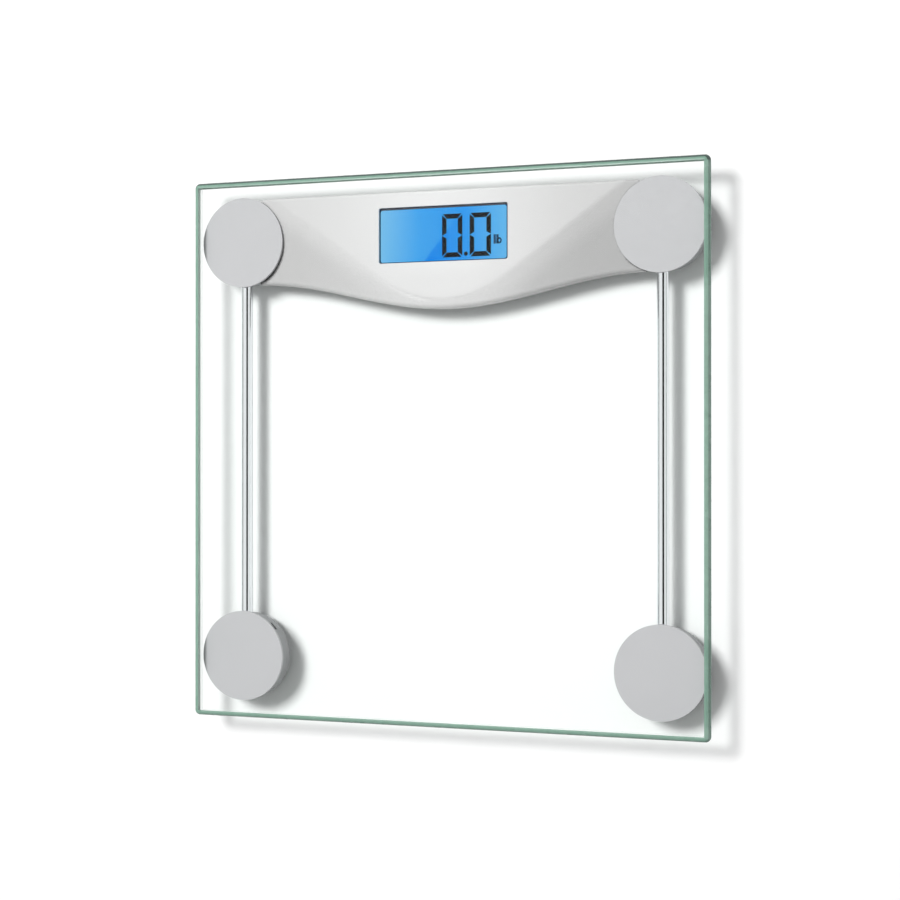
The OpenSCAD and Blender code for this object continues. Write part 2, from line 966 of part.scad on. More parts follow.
module battery_2() {
    translate([cell_end_x, cell_2_y, cell_axis_z])
        mirror([1, 0, 0])
            aaa_cell();
}

// joins the cells in series at the far end: dimple for one cell, spring for the other
module bridge_contact() {
    color([0.8, 0.8, 0.78]) {
        span([bridge_x, bridge_y[0], contact_z[0]],
             [bridge_x + contact_thickness, bridge_y[1], bridge_top_z]);
        translate([cell_end_x, cell_1_y, cell_axis_z])
            rotate([0, 90, 0])
                cylinder(r1 = 1.6, r2 = 2.4, h = bridge_x - cell_end_x + 0.1);
        translate([bridge_x + 0.1, cell_2_y, cell_axis_z])
            rotate([0, -90, 0])
                cone_spring(3.2, 1.8, bridge_x + 0.1 - cell_end_x, 2, 0.3);
    }
}

module contact_plate(y) {
    span([contact_x, y - contact_half, contact_z[0]],
         [contact_x + contact_thickness, y + contact_half, contact_z[1]]);
}

module positive_terminal() {
    color([0.8, 0.8, 0.78]) {
        contact_plate(cell_2_y);
        translate([contact_x + 0.2, cell_2_y, cell_axis_z])
            rotate([0, 90, 0])
                cylinder(r1 = 2.8, r2 = 1.6, h = cell_x - contact_x - 0.2);
    }
}

module negative_terminal() {
    color([0.8, 0.8, 0.78]) {
        contact_plate(cell_1_y);
        translate([contact_x + 0.3, cell_1_y, cell_axis_z])
            rotate([0, 90, 0])
                cone_spring(3.4, 1.8, cell_x - contact_x - 0.3, 2, 0.35);
    }
}

// two short leads from the terminals to the board
module battery_leads() {
    color([0.7, 0.1, 0.1])
        for (y = [cell_1_y, cell_2_y - 2]) {
            core([
                [contact_x, y, lead_z[0]],
                [lead_x[0], y, lead_z[0]],
                [lead_x[1], y, lead_z[1]],
                [lead_x[1], y, board_top_z]
            ], lead_r);
        }
}

module cover_screws() {
    color([0.7, 0.71, 0.73])
        for (p = cover_screw_points) {
            translate([p[0], p[1], 0])
                screw(cover_head_r, screw_shank_r, cover_head_z, cover_seat_z, cover_tip_z);
        }
}

// blank sticker under the housing
module rating_label() {
    color([0.8, 0.81, 0.82])
        span([label_x[0], label_y[0], wing_floor_z - label_thickness],
             [label_x[1], label_y[1], wing_floor_z]);
}

// ---- drawing ----

glass_platform();
top_cover();
bottom_cover();
display_gasket();
lcd_panel();
lcd_frame();
light_guide();
backlight_leds();
zebra_strip();
main_pcb();
board_components();
pcb_screws();
tact_switch();
switch_plunger();
unit_button();
battery_door();
battery_1();
battery_2();
bridge_contact();
positive_terminal();
negative_terminal();
battery_leads();
cover_screws();
cap_screws();
strain_gauges();
rating_label();
tube(-1);  // tube_left
tube(1);  // tube_right
at_corner(-1, 1) corner_cap();  // corner_cap_rear_left
at_corner(1, 1) corner_cap();  // corner_cap_rear_right
at_corner(-1, -1) corner_cap();  // corner_cap_front_left
at_corner(1, -1) corner_cap();  // corner_cap_front_right
at_corner(-1, 1) foot_housing();  // foot_housing_rear_left
at_corner(1, 1) foot_housing();  // foot_housing_rear_right
at_corner(-1, -1) foot_housing();  // foot_housing_front_left
at_corner(1, -1) foot_housing();  // foot_housing_front_right
at_corner(-1, 1) load_cell();  // load_cell_rear_left
at_corner(1, 1) load_cell();  // load_cell_rear_right
at_corner(-1, -1) load_cell();  // load_cell_front_left
at_corner(1, -1) load_cell();  // load_cell_front_right
at_corner(-1, 1) foot();  // foot_rear_left
at_corner(1, 1) foot();  // foot_rear_right
at_corner(-1, -1) foot();  // foot_front_left
at_corner(1, -1) foot();  // foot_front_right
at_corner(-1, 1) foot_pad();  // foot_pad_rear_left
at_corner(1, 1) foot_pad();  // foot_pad_rear_right
at_corner(-1, -1) foot_pad();  // foot_pad_front_left
at_corner(1, -1) foot_pad();  // foot_pad_front_right
wires_rear(-1);  // wires_rear_left
wires_rear(1);  // wires_rear_right
wires_front(-1);  // wires_front_left
wires_front(1);  // wires_front_right
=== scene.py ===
import math

import bpy
import bmesh
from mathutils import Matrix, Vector


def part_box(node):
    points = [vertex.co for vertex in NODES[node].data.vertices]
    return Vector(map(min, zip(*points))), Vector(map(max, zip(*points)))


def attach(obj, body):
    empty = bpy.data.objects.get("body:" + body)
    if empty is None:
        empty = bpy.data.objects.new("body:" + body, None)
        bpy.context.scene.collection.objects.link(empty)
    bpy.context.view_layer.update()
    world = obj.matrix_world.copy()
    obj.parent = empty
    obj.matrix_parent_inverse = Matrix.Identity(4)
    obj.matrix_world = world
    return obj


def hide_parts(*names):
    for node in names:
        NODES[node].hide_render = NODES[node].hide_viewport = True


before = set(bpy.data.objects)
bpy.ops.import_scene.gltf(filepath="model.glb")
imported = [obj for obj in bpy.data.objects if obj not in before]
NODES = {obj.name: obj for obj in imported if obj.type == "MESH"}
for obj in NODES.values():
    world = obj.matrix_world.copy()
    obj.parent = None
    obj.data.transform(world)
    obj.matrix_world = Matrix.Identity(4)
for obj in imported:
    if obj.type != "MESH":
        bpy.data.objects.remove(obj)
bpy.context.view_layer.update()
MM = 0.001
ROOT = "platform"
CORNERS = ("rear_left", "rear_right", "front_left", "front_right")

# ---------------------------------------------------------------- helpers


def linear(r, g, b):
    """A colour given in 0-255 screen values, as linear light."""
    out = []
    for c in (r, g, b):
        c /= 255
        out.append(c / 12.92 if c <= 0.04045 else ((c + 0.055) / 1.055) ** 2.4)
    return (*out, 1.0)


def node(nt, kind, **props):
    n = nt.nodes.new(kind)
    for key, value in props.items():
        setattr(n, key, value)
    return n


def new_material(name):
    mat = bpy.data.materials.new(name)
    mat.use_nodes = True
    nt = mat.node_tree
    nt.nodes.clear()
    out = node(nt, "ShaderNodeOutputMaterial")
    bsdf = node(nt, "ShaderNodeBsdfPrincipled")
    nt.links.new(bsdf.outputs["BSDF"], out.inputs["Surface"])
    return mat, nt, bsdf


def noise(nt, scale, detail=2.0, stretch=None):
    """Noise over the object's own metres; stretch scales its axes."""
    coord = node(nt, "ShaderNodeTexCoord")
    tex = node(nt, "ShaderNodeTexNoise")
    tex.inputs["Scale"].default_value = scale
    tex.inputs["Detail"].default_value = detail
    source = coord.outputs["Object"]
    if stretch:
        mapping = node(nt, "ShaderNodeMapping")
        mapping.inputs["Scale"].default_value = stretch
        nt.links.new(source, mapping.inputs["Vector"])
        source = mapping.outputs["Vector"]
    nt.links.new(source, tex.inputs["Vector"])
    return tex.outputs["Fac"]


def ramp(nt, fac, stops):
    r = node(nt, "ShaderNodeValToRGB")
    while len(r.color_ramp.elements) < len(stops):
        r.color_ramp.elements.new(0.5)
    for element, (pos, colour) in zip(r.color_ramp.elements, stops):
        element.position = pos
        element.color = colour
    nt.links.new(fac, r.inputs["Fac"])
    return r.outputs["Color"]


def grey(v):
    return (v, v, v, 1.0)


def tint(colour, k):
    return (*(min(c * k, 1) for c in colour[:3]), 1.0)


def map_range(nt, value, a, b, c=0.0, d=1.0):
    """Maps a value from the range a to b onto the range c to d."""
    n = node(nt, "ShaderNodeMapRange")
    for socket, v in zip(("From Min", "From Max", "To Min", "To Max"), (a, b, c, d)):
        n.inputs[socket].default_value = v
    nt.links.new(value, n.inputs["Value"])
    return n.outputs["Result"]


def math_node(nt, op, *values):
    n = node(nt, "ShaderNodeMath", operation=op)
    for socket, v in zip(n.inputs, values):
        if isinstance(v, (int, float)):
            socket.default_value = v
        else:
            nt.links.new(v, socket)
    return n.outputs[0]


def multiply_colours(nt, a, b):
    mix = node(nt, "ShaderNodeMix", data_type="RGBA", blend_type="MULTIPLY")
    mix.inputs["Factor"].default_value = 1.0
    nt.links.new(a, mix.inputs["A"])
    nt.links.new(b, mix.inputs["B"])
    return mix.outputs["Result"]


def surface(name, colour, rough=0.45, metal=0.0, speckle=(900, 0.06), blotch=(25, 0.04),
            bump=(1200, 0.08, 0.00004), stretch=None, rough_spread=0.08, coat=0.0, specular=0.5):
    """A moulded, painted or metal surface: fine speckle, soft blotches, uneven gloss and grain.

    speckle and blotch are (noise scale, strength); bump is (scale, strength, height in metres).
    """
    mat, nt, bsdf = new_material(name)
    link = nt.links.new
    fine = ramp(nt, noise(nt, speckle[0], 3.0, stretch),
                [(0.3, tint(colour, 1 - speckle[1])), (0.7, tint(colour, 1 + speckle[1]))])
    broad = ramp(nt, noise(nt, blotch[0], 2.0, stretch),
                 [(0.35, grey(1 - blotch[1])), (0.65, grey(1.0))])
    link(multiply_colours(nt, fine, broad), bsdf.inputs["Base Color"])
    gloss = map_range(nt, noise(nt, speckle[0] * 0.4, 3.0, stretch), 0.3, 0.7,
                      max(rough - rough_spread, 0.02), min(rough + rough_spread, 1))
    link(gloss, bsdf.inputs["Roughness"])
    b = node(nt, "ShaderNodeBump")
    b.inputs["Strength"].default_value = bump[1]
    b.inputs["Distance"].default_value = bump[2]
    link(noise(nt, bump[0], 4.0, stretch), b.inputs["Height"])
    link(b.outputs["Normal"], bsdf.inputs["Normal"])
    bsdf.inputs["Metallic"].default_value = metal
    bsdf.inputs["Coat Weight"].default_value = coat
    bsdf.inputs["Coat Roughness"].default_value = 0.15
    bsdf.inputs["Specular IOR Level"].default_value = specular
    return mat


def mesh_object(name, verts, faces, materials, smooth=True, angle=35):
    me = bpy.data.meshes.new(name)
    me.from_pydata([tuple(v) for v in verts], [], faces)
    me.validate()
    ob = bpy.data.objects.new(name, me)
    bpy.context.scene.collection.objects.link(ob)
    for m in materials:
        me.materials.append(m)
    fix_normals(ob)
    if smooth:
        smooth_by_angle(ob, angle)
    return ob


def fix_normals(ob):
    bm = bmesh.new()
    bm.from_mesh(ob.data)
    bmesh.ops.recalc_face_normals(bm, faces=bm.faces)
    bm.to_mesh(ob.data)
    bm.free()


def smooth_by_angle(ob, degrees):
    me = ob.data
    for p in me.polygons:
        p.use_smooth = True
    me.set_sharp_from_angle(angle=math.radians(degrees))


def lathe(name, profile, materials, at=(0, 0, 0), steps=96, slots=None, axis="Z"):
    """A turned piece from (radius, height) points. Radius 0 closes an end."""
    verts, faces, rings = [], [], []
    for r, h in profile:
        if r < 1e-9:
            rings.append([len(verts)])
            verts.append((0, 0, h))
        else:
            rings.append(list(range(len(verts), len(verts) + steps)))
            for i in range(steps):
                a = 2 * math.pi * i / steps
                verts.append((r * math.cos(a), r * math.sin(a), h))
    face_slot = []
    for k in range(len(rings) - 1):
        a, b = rings[k], rings[k + 1]
        for i in range(steps):
            j = (i + 1) % steps
            quad = [a[i % len(a)], a[j % len(a)], b[j % len(b)], b[i % len(b)]]
            quad = [q for n, q in enumerate(quad) if q not in quad[:n]]
            if len(quad) > 2:
                faces.append(quad)
                face_slot.append(slots[k] if slots else 0)
    if axis == "X":
        verts = [(z, y, -x) for x, y, z in verts]
    verts = [tuple(Vector(v) + Vector(at)) for v in verts]
    ob = mesh_object(name, verts, faces, materials)
    for p, s in zip(ob.data.polygons, face_slot):
        p.material_index = s
    return ob


def extrude_outline(name, points, z0, z1, materials):
    """A straight-sided block over a closed outline."""
    n = len(points)
    verts = [(x, y, z0) for x, y in points] + [(x, y, z1) for x, y in points]
    faces = [list(range(n)), list(range(n, 2 * n))]
    faces += [[i, (i + 1) % n, n + (i + 1) % n, n + i] for i in range(n)]
    return mesh_object(name, verts, faces, materials, smooth=False)


def flat_ring(name, outer, inner, z0, z1, materials):
    """A thin frame between two outlines with the same number of points."""
    n = len(outer)
    verts = [(x, y, z) for z in (z0, z1) for ring in (outer, inner) for x, y in ring]
    faces = []
    for i in range(n):
        j = (i + 1) % n
        faces += [(i, j, n + j, n + i), (2 * n + i, 2 * n + j, 3 * n + j, 3 * n + i),
                  (i, j, 2 * n + j, 2 * n + i), (n + i, n + j, 3 * n + j, 3 * n + i)]
    return mesh_object(name, verts, faces, materials, smooth=False)


def rounded_rect(w, h, r, steps=8, centre=(0.0, 0.0)):
    pts = []
    corners = ((1, 1, 0), (-1, 1, 90), (-1, -1, 180), (1, -1, 270))
    for sx, sy, start in corners:
        cx, cy = sx * (w / 2 - r), sy * (h / 2 - r)
        for i in range(steps + 1):
            a = math.radians(start + 90 * i / steps)
            pts.append((centre[0] + cx + r * math.cos(a), centre[1] + cy + r * math.sin(a)))
    return pts


def bevel(ob, width, segments=2, degrees=40):
    m = ob.modifiers.new("edge", "BEVEL")
    m.width = width
    m.segments = segments
    m.limit_method = "ANGLE"
    m.angle_limit = math.radians(degrees)
    m.harden_normals = False


def paint(name, mat):
    ob = NODES[name]
    for slot in ob.material_slots:
        slot.material = mat


def centre_xy(name):
    lo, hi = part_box(name)
    return (lo[0] + hi[0]) / 2, (lo[1] + hi[1]) / 2


# ---------------------------------------------------------------- camera and light

scene = bpy.context.scene
scene.view_settings.view_transform = "Standard"

cam = bpy.data.cameras.new("camera")
cam.lens = 82.0
cam.sensor_width = 36.0
cam.clip_end = 20
camera = bpy.data.objects.new("camera", cam)
scene.collection.objects.link(camera)
camera.location = (0.4309, -0.0039, 1.0358)
aim = Vector((0.0070, -0.0007, 0.024))
back = (camera.location - aim).normalized()
up = Vector((0, 1, 0))
right = up.cross(back).normalized()
up = back.cross(right)
rotation = camera.matrix_world.to_3x3()
rotation.col[0], rotation.col[1], rotation.col[2] = right, up, back
camera.rotation_euler = rotation.to_euler()
scene.camera = camera

world = bpy.data.worlds.new("studio")
scene.world = world
world.use_nodes = True
wn = world.node_tree
wn.nodes.clear()
w_out = node(wn, "ShaderNodeOutputWorld")
w_bg = node(wn, "ShaderNodeBackground")
w_coord = node(wn, "ShaderNodeTexCoord")
w_split = node(wn, "ShaderNodeSeparateXYZ")
wn.links.new(w_coord.outputs["Generated"], w_split.inputs["Vector"])
w_ramp = ramp(wn, w_split.outputs["Z"], [(0.0, grey(0.55)), (0.35, grey(0.9)), (1.0, grey(1.0))])
wn.links.new(w_ramp, w_bg.inputs["Color"])
w_bg.inputs["Strength"].default_value = 0.42
wn.links.new(w_bg.outputs["Background"], w_out.inputs["Surface"])

key_light = bpy.data.lights.new("key", "AREA")
key_light.energy = 186
key_light.size = 1.4
key = bpy.data.objects.new("key", key_light)
scene.collection.objects.link(key)
key.location = (-1.45, 1.55, 4.1)
key.rotation_euler = (-key.location).to_track_quat("-Z", "Y").to_euler()

# ---------------------------------------------------------------- stage

floor_mat = surface("studio_floor", grey(0.93), rough=0.6, speckle=(60, 0.004), blotch=(2, 0.004),
                    bump=(300, 0.02, 0.0001), specular=0.2)
FLOOR_HALF = 12.0
floor = mesh_object("floor", [(x * FLOOR_HALF, y * FLOOR_HALF, 0)
                              for x, y in ((-1, -1), (1, -1), (1, 1), (-1, 1))],
                    [(0, 1, 2, 3)], [floor_mat], smooth=False)


def mirror_card(name, mid, side, long, mat):
    """A flat studio card that only mirrors see."""
    ob = mesh_object(name, [mid - side - long, mid + side - long, mid + side + long,
                            mid - side + long], [(0, 1, 2, 3)], [mat], smooth=False)
    ob.visible_camera = False
    ob.visible_shadow = False
    ob.visible_diffuse = False
    ob.visible_transmission = False


# dark card behind the camera: it draws the dark line along the chrome tubes
card_mat = surface("dark_card", grey(0.01), rough=0.9, specular=0.0)
DARK_CARD_HALF = 0.38
DARK_CARD_LONG = 2.0
mirror_card("reflection_card", camera.location + back * 0.25, right * DARK_CARD_HALF,
            up * DARK_CARD_LONG, card_mat)

# white cards: the bright stripes beside that line
glow_mat, _, glow_bsdf = new_material("white_card")
glow_bsdf.inputs["Base Color"].default_value = grey(0.0)
glow_bsdf.inputs["Emission Color"].default_value = grey(1.0)
glow_bsdf.inputs["Emission Strength"].default_value = 0.95
WHITE_CARD_REACH = 2.0
WHITE_CARD_LONG = 2.5
for name, tilt, half_width in (("white_card_left", -25, 1.25), ("white_card_right", 63, 0.85)):
    a = math.radians(tilt)
    out = Vector((math.sin(a), 0, math.cos(a)))
    side = Vector((math.cos(a), 0, -math.sin(a))) * half_width
    mirror_card(name, out * WHITE_CARD_REACH, side, Vector((0, WHITE_CARD_LONG, 0)), glow_mat)

# ---------------------------------------------------------------- materials

shield_paint = surface("housing_paint", linear(220, 217, 218), rough=0.45,
                       speckle=(1500, 0.07), blotch=(30, 0.015), bump=(1800, 0.10, 0.00003),
                       specular=0.2)


def shade_by_attribute(mat, attribute):
    """Multiplies a surface's colour by a value stored on the mesh."""
    nt = mat.node_tree
    bsdf = next(n for n in nt.nodes if n.type == "BSDF_PRINCIPLED")
    source = bsdf.inputs["Base Color"].links[0].from_socket
    tone = node(nt, "ShaderNodeAttribute", attribute_name=attribute)
    toned = multiply_colours(nt, source, tone.outputs["Color"])
    nt.links.new(toned, bsdf.inputs["Base Color"])


shade_by_attribute(shield_paint, "shade")
# painted shade: the pods are a darker grey than the caps, so that the strip of each pod beside its
# cap reads as the cap's shadow
pod_shade_grey = surface("pod_shade_grey", linear(158, 158, 160), rough=0.5, speckle=(1500, 0.05),
                   blotch=(30, 0.02), bump=(1800, 0.10, 0.00003), specular=0.3)
cap_paint = surface("satin_silver", linear(188, 186, 189), rough=0.5,
                    speckle=(1600, 0.03), blotch=(40, 0.015), bump=(2200, 0.06, 0.00002),
                    specular=0.25)
dark_plastic = surface("dark_plastic", linear(58, 60, 63), rough=0.55, speckle=(1400, 0.08),
                       blotch=(18, 0.04), bump=(2600, 0.12, 0.00005), rough_spread=0.03)
pad_rubber = surface("pad_rubber", linear(34, 34, 35), rough=0.75, speckle=(1200, 0.15),
                     blotch=(90, 0.15), bump=(1600, 0.4, 0.00008), specular=0.3)
foam = surface("black_foam", linear(26, 26, 27), rough=0.95, speckle=(2500, 0.3),
               bump=(3000, 0.8, 0.0001), specular=0.1)
white_plastic = surface("white_plastic", linear(228, 228, 222), rough=0.45)
light_plastic = surface("light_plastic", linear(196, 198, 201), rough=0.42,
                        bump=(2400, 0.2, 0.00004))
steel = surface("plated_steel", linear(196, 197, 199), rough=0.28, metal=1.0,
                speckle=(900, 0.08), blotch=(120, 0.1), bump=(1500, 0.15, 0.00003))
spring_steel = surface("spring_steel", linear(182, 184, 188), rough=0.34, metal=1.0,
                       speckle=(500, 0.1), blotch=(60, 0.08), bump=(900, 0.2, 0.00003),
                       stretch=(1, 12, 1))
brass = surface("plated_brass", linear(200, 170, 110), rough=0.3, metal=1.0)
board_green = surface("solder_mask", linear(28, 92, 52), rough=0.35, speckle=(300, 0.15),
                      blotch=(120, 0.2), bump=(500, 0.3, 0.00005), coat=0.4)
epoxy = surface("potting_epoxy", linear(20, 20, 22), rough=0.3, speckle=(700, 0.3),
                bump=(300, 0.3, 0.0001))
led_body = surface("lamp_epoxy", linear(240, 236, 205), rough=0.3)
acrylic = surface("clear_acrylic", linear(205, 225, 240), rough=0.15)
elastomer = surface("striped_elastomer", linear(205, 120, 140), rough=0.6, stretch=(40, 1, 1),
                    speckle=(60, 0.5))
red_wire = surface("red_insulation", linear(176, 34, 28), rough=0.45, speckle=(800, 0.1))
white_wire = surface("white_insulation", linear(226, 226, 220), rough=0.45, speckle=(800, 0.06))
gauge_film = surface("gauge_film", linear(190, 120, 50), rough=0.35, speckle=(2500, 0.3),
                     stretch=(1, 6, 1))
label_foil = surface("label_foil", linear(206, 208, 211), rough=0.35,
                     speckle=(1500, 0.03), bump=(900, 0.03, 0.00003), rough_spread=0.02)
sleeve_blue = surface("cell_sleeve", linear(30, 58, 112), rough=0.22, speckle=(500, 0.05),
                      blotch=(60, 0.08), coat=0.6, bump=(200, 0.1, 0.00005))
sleeve_silver = surface("cell_band", linear(205, 207, 212), rough=0.25, metal=0.8, coat=0.5)
chrome = surface("bright_chrome", linear(236, 237, 240), rough=0.05, metal=1.0,
                 speckle=(300, 0.01), blotch=(30, 0.02), bump=(900, 0.02, 0.00001),
                 rough_spread=0.02)

# glass: clear where it is flat, with a faint mirror; its green edge has surfaces of its own, some
# carrying painted shade and some painted light
glass_mat, gnt, gbsdf = new_material("clear_glass")
gbsdf.inputs["Base Color"].default_value = (0.9, 0.95, 0.93, 1)
gbsdf.inputs["Roughness"].default_value = 0.03
gbsdf.inputs["Metallic"].default_value = 1.0
g_out = next(n for n in gnt.nodes if n.type == "OUTPUT_MATERIAL")
g_clear = node(gnt, "ShaderNodeBsdfTransparent")
g_tint = ramp(gnt, noise(gnt, 6, 1.0), [(0.3, (0.984, 0.993, 0.989, 1)),
                                        (0.7, (0.989, 0.996, 0.993, 1))])
gnt.links.new(g_tint, g_clear.inputs["Color"])
g_facing = node(gnt, "ShaderNodeLayerWeight")
g_facing.inputs["Blend"].default_value = 0.5
g_fifth = math_node(gnt, "POWER", g_facing.outputs["Facing"], 5.0)
g_mirror = math_node(gnt, "MULTIPLY_ADD", g_fifth, 0.9, 0.005)
g_mix = node(gnt, "ShaderNodeMixShader")
gnt.links.new(g_mirror, g_mix.inputs["Fac"])
gnt.links.new(g_clear.outputs["BSDF"], g_mix.inputs[1])
gnt.links.new(gbsdf.outputs["BSDF"], g_mix.inputs[2])
gnt.links.new(g_mix.outputs["Shader"], g_out.inputs["Surface"])


def rim_surface(name, colour, see_through, grain=0.05, patch=0.08, rough=0.3, specular=0.3):
    """A band of the green glass edge that lets a share of the light through."""
    mat = surface(name, colour, rough=rough, speckle=(250, grain), blotch=(14, patch),
                  bump=(700, 0.10, 0.00004), specular=specular)
    bsdf = next(n for n in mat.node_tree.nodes if n.type == "BSDF_PRINCIPLED")
    bsdf.inputs["Alpha"].default_value = 1 - see_through
    return mat


rim_mat = rim_surface("glass_rim", linear(128, 164, 147), 0.08)
# painted shade: a darker line along the outer top of the edge on the near sides
rim_shade_line_mat = rim_surface("glass_rim_shade_line", linear(104, 134, 121), 0.08, grain=0.06)
# painted shade: the outer top of the far side's edge is darker than the rest
rim_far_shade_mat = rim_surface("glass_rim_far_shade", linear(82, 98, 92), 0.05, grain=0.06, rough=0.4,
                          specular=0.15)
# painted light: a paler band along the outer bottom of the edge on the near sides
rim_low_light_mat = rim_surface("glass_rim_low_light", linear(150, 182, 167), 0.15)
# the glass's green, made paler as painted light for the inside of the edge, which is mostly
# see-through
rim_wall_light_mat = rim_surface("glass_rim_wall_light", linear(186, 216, 203), 0.8, patch=0.06)

# ---------------------------------------------------------------- glass platform

g_lo, g_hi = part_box("glass_platform")
WIDTH = g_hi[0] - g_lo[0]
CORNER_R = 3 * MM
RIM_R = 2.9 * MM
DARK_LINE = 0.8 * MM
FAR_LINE = 1.5 * MM
LOW_BAND = 1.1 * MM
RIM_STEPS = 8
CORNER_STEPS = 6
GLUE_GAP = 0.04 * MM
CLEAR, RIM, NEAR_SHADE_LINE, THROUGH, FAR_SHADE, LOW_LIGHT = range(6)


def rim_band(from_wall, lower, far):
    """Which band of green a strip of the edge has, by its inset, half and side of the plate: plain
    green, a painted shade line at the near sides' outer top, painted shade at the far side's outer
    top, painted light along the near sides' outer bottom, and the pale see-through inner wall.
    """
    if lower:
        return RIM if far else LOW_LIGHT if from_wall < LOW_BAND else THROUGH
    if far:
        return FAR_SHADE if from_wall < FAR_LINE else RIM
    return NEAR_SHADE_LINE if from_wall < DARK_LINE else RIM


def glass_slab():
    """The plate with a fully rounded edge, as rings of points from the bottom to the top."""
    z0, z1 = g_lo[2] + GLUE_GAP, g_hi[2]
    loops, verts = [], []
    profile = []
    for i in range(RIM_STEPS + 1):
        a = math.pi / 2 * i / RIM_STEPS
        profile.append((RIM_R * (1 - math.sin(a)), z0 + RIM_R * (1 - math.cos(a))))
    profile += [(inset, z0 + z1 - z) for inset, z in reversed(profile)]
    for inset, z in profile:
        r = max(CORNER_R - inset, 0.4 * MM)
        ring = rounded_rect(WIDTH - 2 * inset, WIDTH - 2 * inset, r, CORNER_STEPS)
        loops.append(list(range(len(verts), len(verts) + len(ring))))
        verts += [(x, y, z) for x, y in ring]
    faces, slots = [], []
    n = len(loops[0])
    for k in range(len(loops) - 1):
        from_wall = (profile[k][0] + profile[k + 1][0]) / 2
        lower = profile[k][1] + profile[k + 1][1] < z0 + z1 + 1e-6
        for i in range(n):
            j = (i + 1) % n
            far = verts[loops[k][i]][1] + verts[loops[k][j]][1] > WIDTH - 2 * CORNER_R
            faces.append((loops[k][i], loops[k][j], loops[k + 1][j], loops[k + 1][i]))
            slots.append(rim_band(from_wall, lower, far))
    faces += [loops[0], loops[-1]]
    slots += [CLEAR, CLEAR]
    ob = mesh_object("glass_slab", verts, faces,
                     [glass_mat, rim_mat, rim_shade_line_mat, rim_wall_light_mat, rim_far_shade_mat, rim_low_light_mat],
                     angle=50)
    for p, s in zip(ob.data.polygons, slots):
        p.material_index = s
    return ob


slab = glass_slab()
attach(slab, ROOT)
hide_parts("glass_platform")

# ---------------------------------------------------------------- control housing, upper shell

cover_lo, cover_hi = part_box("top_cover")
WING_HALF = cover_hi[0]
WING_TOP = cover_hi[1]
WING_END = 92.2 * MM
WING_BOW = 16.3 * MM
WING_REACH = 115 * MM
CREASE_Y = 81 * MM
CREASE_SLOPE = 0.695
CREASE_HALF = 37 * MM
SHELL_WALL = 1.4 * MM
SPLIT_Z = cover_lo[2]
SHIELD_Z = cover_hi[2]


def low_y(x):
    """The housing's near edge."""
    return WING_END - WING_BOW * (1 + math.cos(math.pi * x / WING_REACH)) / 2


def top_y(x):
    """The housing's far edge, with rounded corners."""
    r = 4 * MM
    over = abs(x) - (WING_HALF - r)
    return WING_TOP if over <= 0 else WING_TOP - r + math.sqrt(max(r * r - over * over, 0))


def crease_distance(x, y):
    """Distance past the shield's edge, positive on the flanks."""
    ax = abs(x)
    if ax <= CREASE_HALF:
        edge = CREASE_Y + CREASE_SLOPE * ax * ax / (2 * CREASE_HALF)
        slope = CREASE_SLOPE * ax / CREASE_HALF
    else:
        edge = CREASE_Y + CREASE_SLOPE * (ax - CREASE_HALF / 2)
        slope = CREASE_SLOPE
    return (edge - y) / math.sqrt(1 + slope * slope)


def soft_ramp(d, width):
    """Zero before 0, straight after it, with a rounded start."""
    if d <= -width:
        return 0.0
    if d >= width:
        return d
    return (d + width) ** 2 / (4 * width)


def shell_z(x, y):
    """Height of the roof: flat on the shield, stepping down over the crease and on outwards."""
    d = soft_ramp(crease_distance(x, y), 1.6 * MM)
    drop = 1.05 * MM * (1 - math.exp(-d / (6 * MM))) + 0.048 * d
    return SHIELD_Z - drop


def edge_roll(t, r):
    """How far a rounded edge has dropped at distance t from the outline."""
    return 0.0 if t >= r else r - math.sqrt(max(r * r - (r - t) ** 2, 0))


def shell_grid(inset, wall, columns, rows):
    """Rows of points from the near edge to the far edge of the housing's roof."""
    near_r = 2.4 * MM
    far_r = 0.9 * MM
    near_steps = [near_r * (1 - math.cos(math.pi / 2 * i / 8)) for i in range(9)]
    far_steps = [far_r * (1 - math.cos(math.pi / 2 * i / 4)) for i in range(5)]
    grid = []
    for i in range(columns + 1):
        x = (-1 + 2 * i / columns) * (WING_HALF - inset)
        y0, y1 = low_y(x) + inset, top_y(x) - inset
        ts = [y0 + s for s in near_steps]
        a, b = y0 + near_r, y1 - far_r
        ts += [a + (b - a) * k / rows for k in range(1, rows)]
        ts += [y1 - s for s in reversed(far_steps)]
        column = []
        for y in ts:
            roll = edge_roll(y - y0, near_r) + edge_roll(y1 - y, far_r)
            column.append((x, y, shell_z(x, y) - roll - wall))
        grid.append(column)
    return grid


